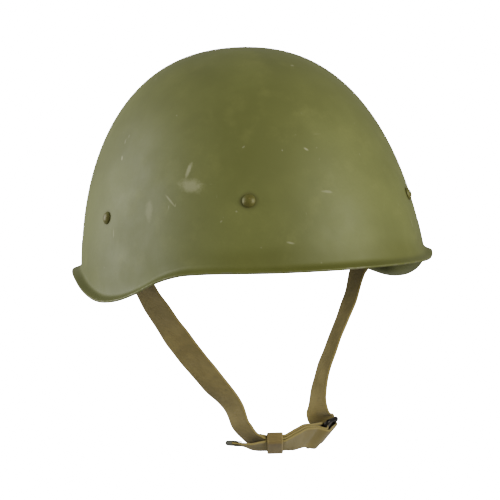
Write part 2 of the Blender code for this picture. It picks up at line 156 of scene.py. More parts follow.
def close_tree(tree, shape, finish):
    solid = put(tree, "GeometryNodeRealizeInstances", {0: shape}).outputs[0]
    dressed = put(tree, "GeometryNodeSetMaterial", {"Geometry": solid, "Material": finish})
    out = tree.nodes.new("NodeGroupOutput")
    tree.links.new(dressed.outputs[0], out.inputs[0])


def run_tree(made, tree, values):
    """The tree on an object with its named inputs set."""
    modifier = made.modifiers.new(tree.name, "NODES")
    modifier.node_group = tree
    for item in tree.interface.items_tree:
        if item.in_out == "INPUT" and item.name in values:
            modifier[item.identifier] = values[item.name]


def shown(name, data):
    made = bpy.data.objects.new(name, data)
    bpy.context.scene.collection.objects.link(made)
    return made


def plain_mesh(made):
    """An object's shape as a new mesh, its modifiers worked in."""
    bpy.context.view_layer.update()
    depsgraph = bpy.context.evaluated_depsgraph_get()
    return bpy.data.meshes.new_from_object(
        made.evaluated_get(depsgraph), preserve_all_data_layers=True, depsgraph=depsgraph
    )


def set_plain(made):
    mesh = plain_mesh(made)
    made.modifiers.clear()
    made.data = mesh
    mesh.name = made.name


def mesh_of(work, name):
    """The bmesh as a mesh, and freed."""
    mesh = bpy.data.meshes.new(name)
    work.to_mesh(mesh)
    work.free()
    return mesh


def round_edges(made, width, degrees):
    """Edges sharper than the angle rounded, and every modifier worked in."""
    rounded = made.modifiers.new("edge", "BEVEL")
    rounded.width = width
    rounded.segments = 2
    rounded.limit_method = "ANGLE"
    rounded.angle_limit = math.radians(degrees)
    set_plain(made)


def smooth(made, degrees):
    made.data.shade_smooth()
    made.data.set_sharp_from_angle(angle=math.radians(degrees))


def surface(name):
    """New material: its tree, its shader and the object's own coordinates."""
    made = bpy.data.materials.new(name)
    made.use_nodes = True
    tree = made.node_tree
    place = put(tree, "ShaderNodeTexCoord").outputs["Object"]
    return made, tree, tree.nodes["Principled BSDF"], place


def cloud(tree, place, scale, detail=3.0, rough=0.55, stretch=None):
    """Noise from 0 to 1, stretched along an axis where asked."""
    if stretch:
        wires = {0: place, 1: stretch}
        place = put(tree, "ShaderNodeVectorMath", wires, operation="MULTIPLY").outputs[0]
    wires = {"Vector": place, "Scale": scale, "Detail": detail, "Roughness": rough}
    return put(tree, "ShaderNodeTexNoise", wires).outputs[0]


def ramp(tree, value, low, high, to_low=0.0, to_high=1.0):
    wires = {0: value, 1: low, 2: high, 3: to_low, 4: to_high}
    return put(tree, "ShaderNodeMapRange", wires, interpolation_type="SMOOTHSTEP").outputs[0]


def tint(tree, share, under, over):
    wires = {0: share, 6: under, 7: over}
    return put(tree, "ShaderNodeMix", wires, data_type="RGBA").outputs[2]


def finished(tree, shader, colour, rough, height, millimetres):
    """Colour, roughness and bump on a shader, the bump's full range in millimetres."""
    bump = put(tree, "ShaderNodeBump", {"Height": height, "Distance": millimetres / 1000})
    tree.links.new(colour, shader.inputs["Base Color"])
    tree.links.new(rough, shader.inputs["Roughness"])
    tree.links.new(bump.outputs[0], shader.inputs["Normal"])


OLIVE = (0.112, 0.123, 0.030, 1)
OLIVE_DARK = (0.087, 0.095, 0.022, 1)
OLIVE_DUSTY = (0.138, 0.147, 0.038, 1)
BARE_STEEL = (0.21, 0.20, 0.14, 1)
PRIMER = (0.035, 0.030, 0.018, 1)
RUBBED = (0.30, 0.30, 0.16, 1)
SPOT = (0.33, 0.32, 0.20, 1)
# dirt and painted shade round the rivet heads
GRIME_AND_SHADE = (0.045, 0.038, 0.008, 1)
# painted shade for the lip's flare
PAINTED_FOLD_SHADE = (0.030, 0.034, 0.006, 1)
# painted shade above the visor's edge
PAINTED_VISOR_SHADE = (0.060, 0.062, 0.004, 1)

# marks the photo shows, charted: one end, other end, breadth, all in mm; strength
MARKS = [
    ((-80.6, -72.3, -79.7), (-84.0, -72.0, -86.9), 3.6, 0.60),
    ((-85.5, -71.6, -92.0), (-80.5, -80.5, -94.5), 10.0, 0.46),
    ((-93.4, -61.5, -98.1), (-91.6, -69.8, -105.2), 1.6, 0.46),
    ((-91.6, -69.8, -105.2), (-91.4, -70.6, -101.0), 1.5, 0.36),
    ((-99.1, -50.2, -102.7), (-100.7, -52.4, -112.0), 7.0, 0.26),
    ((-97.2, -11.2, -72.6), (-97.6, -12.2, -74.6), 1.9, 0.75),
    ((-109.0, -18.7, -118.3), (-109.9, -20.1, -124.6), 1.3, 0.36),
    ((-24.4, -113.5, -72.4), (-22.8, -114.3, -73.8), 1.8, 0.62),
    ((-20.7, -126.0, -98.9), (-15.0, -127.4, -99.8), 2.2, 0.34),
    ((-47.2, -125.0, -128.2), (-43.8, -126.7, -129.2), 1.8, 0.46),
]

# rivet heads' middles, read from the frame, for the dirt and painted shade that gather round
# them
RIVET_NAMES = ["front_left", "front_right", "side_left", "side_right", "rear_left", "rear_right"]
rivet_middles = []
for rivet_name in RIVET_NAMES:
    low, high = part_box("rivet_" + rivet_name)
    rivet_middles.append((Vector(low) + Vector(high)) / 2)


def olive_paint(name, outside, dulled):
    """Satin olive paint; the outside one also has the photo's marks and the lip's wear."""
    made, tree, shader, place = surface(name)
    drift = cloud(tree, place, 16.0, 4.0)
    blotch = cloud(tree, place, 55.0, 5.0, 0.6)
    grit = cloud(tree, place, 620.0, 2.0, 0.6)
    colour = tint(tree, ramp(tree, drift, 0.35, 0.68), OLIVE_DARK, OLIVE)
    colour = tint(tree, ramp(tree, blotch, 0.50, 0.80, 0.0, 0.55), colour, OLIVE_DUSTY)
    colour = tint(tree, ramp(tree, grit, 0.30, 0.75, 0.25, 0.0), colour, OLIVE_DARK)
    # rubbed marks: thin scuffs both ways, and round chips
    patches = ramp(tree, cloud(tree, place, 22.0, 2.0), 0.50, 0.62)
    scuff = cloud(tree, place, 60.0, 3.0, 0.6, (5.0, 5.0, 0.7))
    scuff = times(tree, ramp(tree, scuff, 0.69, 0.78), patches)
    scrape = cloud(tree, place, 34.0, 3.0, 0.6, (0.9, 0.9, 7.0))
    scrape = times(tree, ramp(tree, scrape, 0.71, 0.81), patches)
    rubbed = calc(tree, "MAXIMUM", scuff, scrape)
    colour = tint(tree, times(tree, rubbed, 0.36), colour, RUBBED)
    if outside:
        frayed = times(tree, cloud(tree, place, 330.0, 4.0, 0.7), 1.1)
        for first, second, breadth, strength in MARKS:
            one, two = Vector(first) / 1000, Vector(second) / 1000
            reach = (two - one).length / 2 + breadth / 2000
            wires = {
                "Vector": place,
                "Location": (one + two) / 2,
                "Rotation": (two - one).to_track_quat("Z", "Y").to_euler(),
                "Scale": (breadth / 2000, breadth / 2000, reach),
            }
            local = put(tree, "ShaderNodeMapping", wires, vector_type="TEXTURE").outputs[0]
            far = put(tree, "ShaderNodeVectorMath", {0: local}, operation="LENGTH")
            mark = plus(tree, far.outputs["Value"], frayed)
            mark = ramp(tree, mark, 0.9, 1.65, strength, 0.0)
            colour = tint(tree, mark, colour, RUBBED)
    cells = put(tree, "ShaderNodeTexVoronoi", {"Vector": place, "Scale": 48.0})
    chance = put(tree, "ShaderNodeSeparateColor", {0: cells.outputs["Color"]}).outputs[0]
    ragged = times(tree, cloud(tree, place, 420.0, 2.0), 0.10)
    chip = plus(tree, cells.outputs["Distance"], ragged)
    chip = ramp(tree, chip, 0.10, 0.14, 1.0, 0.0)
    chip = times(tree, chip, ramp(tree, chance, 0.945, 0.955))
    colour = tint(tree, times(tree, chip, 0.75), colour, PRIMER)
    spot = ramp(tree, cloud(tree, place, 150.0, 2.0, 0.5), 0.735, 0.775)
    colour = tint(tree, times(tree, spot, 0.32), colour, SPOT)
    worn = calc(tree, "MAXIMUM", chip, rubbed)
    shader.inputs["Specular IOR Level"].default_value = 0.35
    shader.inputs["Specular Tint"].default_value = (0.95, 1.0, 0.78, 1)
    if outside:
        near = None
        for middle in rivet_middles:
            wires = {0: place, 1: tuple(middle)}
            apart = put(tree, "ShaderNodeVectorMath", wires, operation="DISTANCE")
            apart = apart.outputs["Value"]
            near = apart if near is None else calc(tree, "MINIMUM", near, apart)
        # a darker ring round each rivet head: grime, and painted shade where the head meets the
        # shell
        near = plus(tree, near, times(tree, drift, 0.0012))
        ring = ramp(tree, near, 0.0040, 0.0078, 0.60, 0.0)
        colour = tint(tree, ring, colour, GRIME_AND_SHADE)
        lip = put(tree, "ShaderNodeAttribute", attribute_name="lip").outputs["Fac"]
        nibble = times(tree, cloud(tree, place, 190.0, 4.0, 0.65), 0.55)
        edge = ramp(tree, plus(tree, lip, nibble), 1.24, 1.36, 0.0, 0.7)
        colour = tint(tree, edge, colour, BARE_STEEL)
        # painted shade on the lip's flare, strongest across its inner half and fading out before
        # its edge
        painted_fold_shade = ramp(tree, lip, 0.05, 0.50)
        painted_fold_shade = times(tree, painted_fold_shade, ramp(tree, lip, 0.55, 0.95, 0.22, 0.0))
        colour = tint(tree, painted_fold_shade, colour, PAINTED_FOLD_SHADE)
        # painted shade: darker in a band just above the visor's edge, at the front
        level = put(tree, "ShaderNodeAttribute", attribute_name="height").outputs["Fac"]
        front = put(tree, "ShaderNodeSeparateXYZ", {0: place}).outputs[1]
        painted_visor_shade = plus(tree, level, times(tree, drift, 0.006))
        painted_visor_shade = ramp(tree, painted_visor_shade, 0.010, 0.021, 0.30, 0.0)
        painted_visor_shade = times(tree, painted_visor_shade, ramp(tree, front, -0.11, -0.06, 1.0, 0.0))
        colour = tint(tree, painted_visor_shade, colour, PAINTED_VISOR_SHADE)
        metal = times(tree, edge, 0.6)
        tree.links.new(metal, shader.inputs["Metallic"])
        worn = calc(tree, "MAXIMUM", worn, edge)
    rough = ramp(tree, cloud(tree, place, 38.0, 4.0, 0.6), 0.25, 0.75, dulled, dulled + 0.10)
    rough = calc(tree, "SUBTRACT", rough, times(tree, worn, 0.10), clamp=True)
    dents = times(tree, cloud(tree, place, 13.0, 2.0, 0.4), 14.0)
    peel = times(tree, cloud(tree, place, 480.0, 2.0, 0.5), 0.55)
    height = plus(tree, dents, plus(tree, peel, times(tree, grit, 0.25)))
    height = calc(tree, "SUBTRACT", height, worn)
    finished(tree, shader, colour, rough, height, 0.05)
    return made


paint = olive_paint("olive_paint", True, 0.50)
paint_inside = olive_paint("olive_paint_inside", False, 0.52)

# every vertex of the blank carries its turn from the front, its height over the
# visor's edge and how far it is flared out; the tree lays it on the pressed form
work = bmesh.new()
rings = DOME_RINGS + LIP_RINGS
bmesh.ops.create_uvsphere(work, u_segments=AROUND, v_segments=rings + 1, radius=1.0)
south = min(work.verts, key=lambda v: v.co.z)
bmesh.ops.delete(work, geom=[south], context="VERTS")
turn_layer = work.verts.layers.float.new("turn")
height_layer = work.verts.layers.float.new("height")
flare_layer = work.verts.layers.float.new("flare")
lip_layer = work.verts.layers.float.new("lip")
for vert in work.verts:
    if vert.co.z > 0.9999999:
        vert[height_layer] = CROWN_HEIGHT
        continue
    ring = round(math.acos(max(-1.0, min(1.0, vert.co.z))) / math.pi * (rings + 1)) - 1
    turn = math.atan2(vert.co.x, -vert.co.y)
    degrees = abs(math.degrees(turn))
    bent_up = LEFT_RISE * math.exp(-(((degrees - 50) / 9) ** 2)) if turn > 0 else 0.0
    foot = LIP_DROP + bent_up - EAR_DROP * table_value(RIM, degrees)
    vert[turn_layer] = turn
    if ring < DOME_RINGS:
        share_end = (foot + BELLY_DROP) / (CROWN_HEIGHT + BELLY_DROP)
        angle = math.acos(share_end ** (CROWN_POWER / 2)) * (ring + 1) / DOME_RINGS
        share = math.cos(angle) ** (2 / CROWN_POWER)
        vert[height_layer] = share * (CROWN_HEIGHT + BELLY_DROP) - BELLY_DROP
    else:
        step = 5 * (ring - DOME_RINGS + 1) / LIP_RINGS
        vert[height_layer] = foot - table_value(LIP_DOWN, step) * LIP_DROP
        flare = table_value(LIP_OUT, step) * LIP_WIDTH
        vert[flare_layer] = flare * table_value(LIP_ROUND, degrees)
        vert[lip_layer] = step / 5
blank = mesh_of(work, "shell_steel")

SHELL_SIZES = {
    "Half length": HALF_LENGTH,
    "Half width": HALF_WIDTH,
    "Crown height": CROWN_HEIGHT,
    "Belly drop": BELLY_DROP,
    "Crown power": CROWN_POWER,
    "Front lean": FRONT_LEAN,
    "Lean power": FRONT_LEAN_POWER,
    "Seat height": SEAT_Z,
}
press, given = new_tree("pressed_bowl", [(size, "Float") for size in SHELL_SIZES])


def carried(tree, name, kind="FLOAT"):
    wires = {"Name": name}
    return put(tree, "GeometryNodeInputNamedAttribute", wires, data_type=kind).outputs[0]


turn = carried(press, "turn")
height = carried(press, "height")
flare = carried(press, "flare")
whole = plus(press, given["Crown height"], given["Belly drop"])
inverse = calc(press, "DIVIDE", 1.0, given["Crown power"])


def bowl_reach(share):
    rest = calc(press, "SUBTRACT", 1.0, calc(press, "POWER", share, given["Crown power"]))
    return calc(press, "POWER", calc(press, "MAXIMUM", rest, 0.0), inverse)


share = plus(press, height, given["Belly drop"])
share = calc(press, "DIVIDE", share, whole, clamp=True)
level = calc(press, "DIVIDE", given["Belly drop"], whole)
reach = calc(press, "DIVIDE", bowl_reach(share), bowl_reach(level))
lean = calc(press, "SUBTRACT", 1.0, calc(press, "DIVIDE", height, given["Crown height"]))
lean = calc(press, "POWER", calc(press, "MAXIMUM", lean, 0.0), given["Lean power"])
lean = times(press, lean, given["Front lean"])
sine = calc(press, "SINE", turn)
cosine = calc(press, "COSINE", turn)
across = calc(press, "DIVIDE", sine, given["Half width"])
along = calc(press, "DIVIDE", cosine, given["Half length"])
length = plus(press, calc(press, "POWER", across, 2.0), calc(press, "POWER", along, 2.0))
flare = calc(press, "DIVIDE", flare, calc(press, "SQRT", length))
x = times(press, times(press, sine, reach), given["Half width"])
x = plus(press, x, times(press, across, flare))
y = times(press, times(press, cosine, reach), given["Half length"])
y = plus(press, plus(press, y, times(press, along, flare)), lean)
y = times(press, y, -1.0)
z = calc(press, "SUBTRACT", height, given["Seat height"])
spot = put(press, "ShaderNodeCombineXYZ", {0: x, 1: y, 2: z}).outputs[0]
laid = put(press, "GeometryNodeSetPosition", {"Geometry": given["Geometry"], "Position": spot})
close_tree(press, laid.outputs[0], given["Finish"])

shell = shown("shell_steel", blank)
run_tree(shell, press, {"Finish": paint, **SHELL_SIZES})
set_plain(shell)
shell.data.materials.clear()
shell.data.materials.append(paint)
shell.data.materials.append(paint_inside)
thick = shell.modifiers.new("steel", "SOLIDIFY")
thick.thickness = STEEL
thick.offset = -1.0
thick.use_even_offset = True
thick.material_offset = 1
round_edges(shell, LIP_EDGE, 50)
smooth(shell, 60)
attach(shell, "root")
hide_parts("shell")

# ---------------------------------------------------------------- rivets
# Six solid steel rivets hold the liner band and the two strap hangers: a low
# domed head outside, the peened end inside. Fitted before painting, so they
# carry the same olive paint, rubbed on top of each head.

RIVET_HEAD = 0.0082
RIVET_DOME = 0.0022
RIVET_FOOT = 0.0088
FOOT_THICK = 0.0012
RIVET_SHANK = 0.0040
SHANK_LONG = 0.0034
CLEARANCE = 0.0003
FOOT_OFF = 0.0006
TAB_THICK = 0.0012
TAB_OFF = 0.0010
FOOT_DEPTH = STEEL + FOOT_OFF
SIDE_FOOT_DEPTH = STEEL + TAB_OFF + TAB_THICK + CLEARANCE
CAP_STEPS = 10
# the cap stops short of the bowl, so that the head keeps a thin upright edge
CAP_FALL = 0.9
STEP_OUT = 0.004


def lathed(name, outline, steps):
    """Round part turned about Z from radius and height."""
    mesh = bpy.data.meshes.new(name)
    mesh.from_pydata(
        [(r, 0.0, h) for r, h in outline], [(i, i + 1) for i in range(len(outline) - 1)], []
    )
    made = shown(name, mesh)
    screw = made.modifiers.new("turn", "SCREW")
    screw.angle = 2 * math.pi
    screw.steps = steps
    screw.render_steps = steps
    screw.use_merge_vertices = True
    screw.merge_threshold = 0.00002
    set_plain(made)
    work = bmesh.new()
    work.from_mesh(made.data)
    bmesh.ops.remove_doubles(work, verts=work.verts, dist=1e-6)
    bmesh.ops.recalc_face_normals(work, faces=work.faces)
    work.to_mesh(made.data)
    work.free()
    return made


def rivet_look():
    made, tree, shader, place = surface("rivet_paint")
    blotch = cloud(tree, place, 160.0, 4.0, 0.6)
    grit = cloud(tree, place, 900.0, 2.0, 0.6)
    colour = tint(tree, ramp(tree, blotch, 0.35, 0.7), (0.070, 0.066, 0.014, 1), OLIVE_DARK)
    rub = ramp(tree, cloud(tree, place, 420.0, 3.0, 0.6), 0.58, 0.72)
    colour = tint(tree, times(tree, rub, 0.6), colour, (0.150, 0.128, 0.040, 1))
    colour = tint(tree, ramp(tree, grit, 0.60, 0.80, 0.0, 0.5), colour, PRIMER)
    shader.inputs["Specular IOR Level"].default_value = 0.32
    shader.inputs["Specular Tint"].default_value = (1.0, 0.95, 0.60, 1)
    rough = ramp(tree, blotch, 0.3, 0.7, 0.38, 0.48)
    finished(tree, shader, colour, rough, plus(tree, grit, blotch), 0.04)
    return made


cap = ((RIVET_HEAD / 2) ** 2 + RIVET_DOME**2) / (2 * RIVET_DOME)
cap_end = math.asin(RIVET_HEAD / 2 / cap)
outline = [(0.0, CLEARANCE + RIVET_DOME)]
for k in range(1, CAP_STEPS + 1):
    a = cap_end * k / CAP_STEPS
    fall = cap * (1 - math.cos(a)) * CAP_FALL
    outline.append((cap * math.sin(a), CLEARANCE + RIVET_DOME - fall))
outline += [(RIVET_HEAD / 2, CLEARANCE), (RIVET_SHANK / 2, CLEARANCE)]
outline += [(RIVET_SHANK / 2, -SHANK_LONG), (0.0, -SHANK_LONG)]
head = lathed("rivet_head_form", outline, 32)
outline = [(0.0, 0.0), (RIVET_FOOT / 2, 0.0), (RIVET_FOOT / 2, -0.0005)]
outline += [(0.0038, -0.0009), (0.0024, -0.0011), (0.0, -FOOT_THICK)]
foot = lathed("rivet_foot_form", outline, 32)
places = bpy.data.meshes.new("rivets")
face_outward = []
middles = []
for middle in rivet_middles:
    _, at, normal, _ = shell.closest_point_on_mesh(middle)
    outward = normal if normal.dot(Vector((at.x, at.y, 0.0))) > 0 else -normal
    # the nearest face may be the inner one: step out and look again
    _, at, normal, _ = shell.closest_point_on_mesh(middle + outward * STEP_OUT)
    face_outward.append(normal.copy())
    middles.append(at.copy())
places.from_pydata([tuple(p) for p in middles], [], [])
places.attributes.new("outward", "FLOAT_VECTOR", "POINT")
places.attributes.new("depth", "FLOAT", "POINT")
for i, name in enumerate(RIVET_NAMES):
    places.attributes["outward"].data[i].vector = face_outward[i]
    places.attributes["depth"].data[i].value = SIDE_FOOT_DEPTH if "side" in name else FOOT_DEPTH

riveting, given = new_tree("set_rivets", [("Head", "Object"), ("Foot", "Object")])
outward = carried(riveting, "outward", "FLOAT_VECTOR")
turned = put(riveting, "FunctionNodeAlignRotationToVector", {"Vector": outward}, axis="Z")
parts = []
for which in ("Head", "Foot"):
    form = put(riveting, "GeometryNodeObjectInfo", {"Object": given[which]}).outputs["Geometry"]
    wires = {"Points": given["Geometry"], "Instance": form, "Rotation": turned.outputs[0]}
    parts.append(put(riveting, "GeometryNodeInstanceOnPoints", wires).outputs[0])
sunk = times(riveting, carried(riveting, "depth"), -1.0)
inward = put(riveting, "ShaderNodeCombineXYZ", {2: sunk}).outputs[0]
wires = {"Instances": parts[1], "Translation": inward, "Local Space": True}
parts[1] = put(riveting, "GeometryNodeTranslateInstances", wires).outputs[0]
both = put(riveting, "GeometryNodeJoinGeometry")
riveting.links.new(parts[0], both.inputs[0])
riveting.links.new(parts[1], both.inputs[0])
close_tree(riveting, both.outputs[0], given["Finish"])

rivets = shown("rivets", places)
run_tree(rivets, riveting, {"Finish": rivet_look(), "Head": head, "Foot": foot})
set_plain(rivets)
for form in (head, foot):
    bpy.data.objects.remove(form, do_unlink=True)
smooth(rivets, 40)
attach(rivets, "root")
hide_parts(*["rivet_" + name for name in RIVET_NAMES])

# ---------------------------------------------------------------- strap hangers
# Inside each ear a steel tab hangs from the side rivet, rolled round a wire ring
# that swings and carries the chin strap. Mild steel, dipped in dark enamel.


def brighter(colour, factor):
    return (*(min(1.0, c * factor) for c in colour[:3]), 1.0)


def dark_steel(name, colour, scratched, rough):
    """Blackened or plated steel, its high spots scratched, with specks of rust."""
    made, tree, shader, place = surface(name)
    shader.inputs["Metallic"].default_value = 1.0
    patch = cloud(tree, place, 240.0, 4.0, 0.6)
    grain = cloud(tree, place, 1500.0, 2.0, 0.5)
    shade = tint(tree, ramp(tree, patch, 0.35, 0.7), colour, brighter(colour, 1.9))
    rub = ramp(tree, cloud(tree, place, 520.0, 3.0, 0.6, (1.0, 1.0, 0.3)), 0.60, 0.70)
    shade = tint(tree, times(tree, rub, 0.7), shade, scratched)
    rust = ramp(tree, cloud(tree, place, 700.0, 4.0, 0.7), 0.66, 0.74)
    shade = tint(tree, times(tree, rust, 0.6), shade, (0.090, 0.042, 0.018, 1))
    dulled = ramp(tree, patch, 0.3, 0.7, rough, rough + 0.2)
    finished(tree, shader, shade, dulled, plus(tree, patch, grain), 0.03)
    return made


TAB_WIDE = 0.012
TAB_DOWN = 0.0115
TAB_UP = 0.0062
SHEET_EDGE = 0.00012
STRAP_WIDE = 0.020
RING_WIRE = 0.0011
RING_LONG = 0.0125
RING_PLAY = 0.0018
WIRE_CORNER = 0.0022
ROLL_WALL = 0.0008
ROLL = RING_WIRE + ROLL_WALL
ROLL_START = 0.001

# the rings' lower bars, rounded from the frame: middle, way down the ring
RING_BARS = {
    "left": (Vector((0.1033, -0.0105, -0.1358)), Vector((-0.24, -0.07, -0.97)).normalized()),
    "right": (Vector((-0.0987, -0.0102, -0.1336)), Vector((0.62, -0.04, -0.79)).normalized()),
}


def ring_along(down):
    """Way along a ring's lower bar, to the front."""
    along = Vector((0.0, -1.0, 0.0))
    return (along - down * along.dot(down)).normalized()


def placed(first, second, third, origin):
    """Matrix that lays X, Y and Z along three ways from a place."""
    made = Matrix((first, second, third)).transposed().to_4x4()
    made.translation = origin
    return made


def ring_path(wide, high, corner, steps):
    """Corner-rounded rectangle of points round the origin, in X and Y."""
    points = []
    for cx, cy, start in ((1, 1, 0), (-1, 1, 90), (-1, -1, 180), (1, -1, 270)):
        for k in range(steps + 1):
            a = math.radians(start + 90 / steps * k)
            x = cx * (wide / 2 - corner) + corner * math.cos(a)
            y = cy * (high / 2 - corner) + corner * math.sin(a)
            points.append((x, y, 0.0))
    return points


def bent_wire(name, points, radius, placing):
    """Closed wire frame as a mesh, laid in its place."""
    curve = bpy.data.curves.new(name, "CURVE")
    curve.dimensions = "3D"
    curve.bevel_depth = radius
    curve.bevel_resolution = 5
    spline = curve.splines.new("POLY")
    spline.points.add(len(points) - 1)
    for slot, point in zip(spline.points, points, strict=True):
        slot.co = (*point, 1.0)
    spline.use_cyclic_u = True
    made = shown(name, curve)
    mesh = plain_mesh(made)
    bpy.data.objects.remove(made, do_unlink=True)
    mesh.transform(placing)
    return mesh


def bent_sheet(work, rows, across, placing):
    """Sheet metal in a bmesh: rows of (y, z, way the face looks, half thickness, half width)."""
    grids = []
    for way in (1, -1):
        grid = []
        for y, z, (ny, nz), thick, wide in rows:
            grid.append([])
            for k in range(across + 1):
                x = wide * (2 * k / across - 1)
                at = Vector((x, y + way * ny * thick, z + way * nz * thick))
                grid[-1].append(work.verts.new(placing @ at))
        grids.append(grid)
    top, under = grids
    last = len(rows) - 1
    for grid in grids:
        for i in range(last):
            for k in range(across):
                work.faces.new((grid[i][k], grid[i][k + 1], grid[i + 1][k + 1], grid[i + 1][k]))
    for i in range(last):
        for k in (0, across):
            work.faces.new((top[i][k], top[i + 1][k], under[i + 1][k], under[i][k]))
    for k in range(across):
        for i in (0, last):
            work.faces.new((top[i][k], top[i][k + 1], under[i][k + 1], under[i][k]))


hanger_look = dark_steel("hanger_enamel", (0.030, 0.030, 0.020, 1), (0.25, 0.24, 0.20, 1), 0.35)
for side, which in (("left", 2), ("right", 3)):
    outward = face_outward[which]
    upward = (Vector((0, 0, 1)) - outward * outward.z).normalized()
    placing = placed(upward.cross(outward), upward, outward, middles[which])
    gap = -STEEL - TAB_OFF
    rows = []
    for k in range(9):
        a = math.radians(80 - 10 * k)
        y = TAB_UP - TAB_WIDE / 2 * (1 - math.sin(a))
        rows.append((y, gap - TAB_THICK / 2, (0, 1), TAB_THICK / 2, TAB_WIDE / 2 * math.cos(a)))
    for k in range(1, 6):
        y = (TAB_UP - TAB_WIDE / 2) * (1 - k / 6) - (TAB_DOWN - ROLL_START) * k / 6
        rows.append((y, gap - TAB_THICK / 2, (0, 1), TAB_THICK / 2, TAB_WIDE / 2))
    for k in range(15):
        a = math.radians(-18 * k)
        middle = ROLL - ROLL_WALL / 2
        ny, nz = math.sin(a), math.cos(a)
        y = -TAB_DOWN + ny * middle
        rows.append((y, gap - ROLL + nz * middle, (ny, nz), ROLL_WALL / 2, TAB_WIDE / 2))
    work = bmesh.new()
    bent_sheet(work, rows, 6, placing)
    bmesh.ops.remove_doubles(work, verts=work.verts, dist=1e-7)
    bmesh.ops.recalc_face_normals(work, faces=work.faces)
    bar_middle, bar_down = RING_BARS[side]
    along = ring_along(bar_down)
    ring_middle = bar_middle - bar_down * RING_LONG / 2
    swing = placed(along, bar_down, along.cross(bar_down), ring_middle)
    ring_wide = STRAP_WIDE + 2 * RING_WIRE + RING_PLAY
    bent = ring_path(ring_wide, RING_LONG, WIRE_CORNER, 8)
    work.from_mesh(bent_wire("hanger_ring", bent, RING_WIRE, swing))
    mesh = mesh_of(work, "hanger_" + side)
    mesh.materials.append(hanger_look)
    hanger = shown("hanger_" + side, mesh)
    round_edges(hanger, SHEET_EDGE, 55)
    smooth(hanger, 50)
    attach(hanger, "root")
    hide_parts("strap_hanger_" + side)

# ---------------------------------------------------------------- chin strap
# Two lengths of khaki cotton webbing, 20 mm wide and 1.5 mm thick, woven with a
# ribbed face. Each is turned over its hanger's ring and sewn; the right one is
# turned round the buckle's near bar and back, the left one runs through it.

STRAP_THICK = 0.0015
LAYER_GAP = 0.0004
BUCKLE_WIRE = 0.0015
BUCKLE_REACH = 0.013
CHIN_TURN = math.radians(32.3)


def chin(across, near, up):
    """Place in the chin strap's own frame, in mm over the visor's edge: across runs
    along its lowest stretch, near runs away from it to the front."""
    x = across * math.cos(CHIN_TURN) - near * math.sin(CHIN_TURN)
    y = -across * math.sin(CHIN_TURN) - near * math.cos(CHIN_TURN)
    return Vector((x, y, up - SEAT_Z * 1000)) / 1000


def facing(tilt, lean):
    """Direction of the strap's width: tilted forwards and leaned over, in degrees."""
    a = math.radians(tilt)
    b = math.radians(lean)
    flat = chin(math.cos(a) * math.sin(b), math.sin(a), math.cos(a) * math.cos(b))
    return (flat - chin(0, 0, 0)).normalized()


BUCKLE_AT = chin(49.2, -18.0, -132.4)
BAR = facing(22, 37)
REACH = chin(0.62, -0.78, 0.10) - chin(0, 0, 0)
REACH = (REACH - BAR * REACH.dot(BAR)).normalized()
FRAME_UP = BAR.cross(REACH).normalized()


def at_buckle(s, n, w=0.0):
    return BUCKLE_AT + REACH * s / 1000 + FRAME_UP * n / 1000 + BAR * w / 1000


def smooth_path(rows_in, pitch):
    """Rows of place and width direction, smoothed between the stations given."""
    places = [row[0] for row in rows_in]
    widths = [row[1] for row in rows_in]
    last = len(rows_in) - 1
    rows = []
    for i in range(last):
        p1 = places[i]
        p2 = places[i + 1]
        length = (p2 - p1).length
        here = (p2 - p1) / length
        before = p1 - places[max(i - 1, 0)]
        after = places[min(i + 2, last)] - p2
        t1 = here if i == 0 else (before.normalized() + here) / 2
        t2 = here if i + 1 == last else (here + after.normalized()) / 2
        steps = max(1, math.ceil(length / pitch))
        for k in range(steps):
            s = k / steps
            place = eased(p1, t1 * length, p2, t2 * length, s)
            rows.append((place, widths[i].lerp(widths[i + 1], s * s * (3 - 2 * s))))
    rows.append((places[-1], widths[-1]))
    return rows


def frame_at(rows, i):
    """Way ahead, way across and face of the strap at one row."""
    ahead = (rows[min(i + 1, len(rows) - 1)][0] - rows[max(i - 1, 0)][0]).normalized()
    across = (rows[i][1] - ahead * rows[i][1].dot(ahead)).normalized()
    return ahead, across, across.cross(ahead)


def beside(rows, amount):
    moved = []
    for i, (place, _) in enumerate(rows):
        _, across, face = frame_at(rows, i)
        moved.append((place + face * amount, across))
    return moved


def round_bar(middle, first, second, radius, start, stop, wide):
    rows = []
    for k in range(7):
        a = math.radians(start + (stop - start) * k / 6)
        rows.append((middle + (first * math.cos(a) + second * math.sin(a)) * radius, wide))
    return rows


def stations(table):
    return [(chin(a, n, u), facing(t, e)) for a, n, u, t, e in table]


def mixed(rows):
    return [(place, BAR) for place in rows]


LAY = STRAP_THICK + LAYER_GAP
WRAP_PLAY = 0.0001
WRAP = BUCKLE_WIRE + CLEARANCE + WRAP_PLAY + STRAP_THICK / 2
RING_WRAP = RING_WIRE + CLEARANCE + WRAP_PLAY + STRAP_THICK / 2


def hung(side):
    """Top of a strap: its sewn end, up and over the hanger's ring, and down again."""
    middle, down = RING_BARS[side]
    along = ring_along(down)
    inward = down.cross(along)
    if inward.x * middle.x > 0:
        inward = -inward
    return [
        (middle + down * 0.015 - inward * LAY * 0.55, along),
        (middle + down * 0.009 - inward * LAY * 0.6, along),
        *round_bar(middle, -inward, -down, RING_WRAP, 0, 180, along),
        (middle + down * 0.009 + inward * LAY * 0.6, along),
        (middle + down * 0.015 + inward * LAY * 0.55, along),
    ]


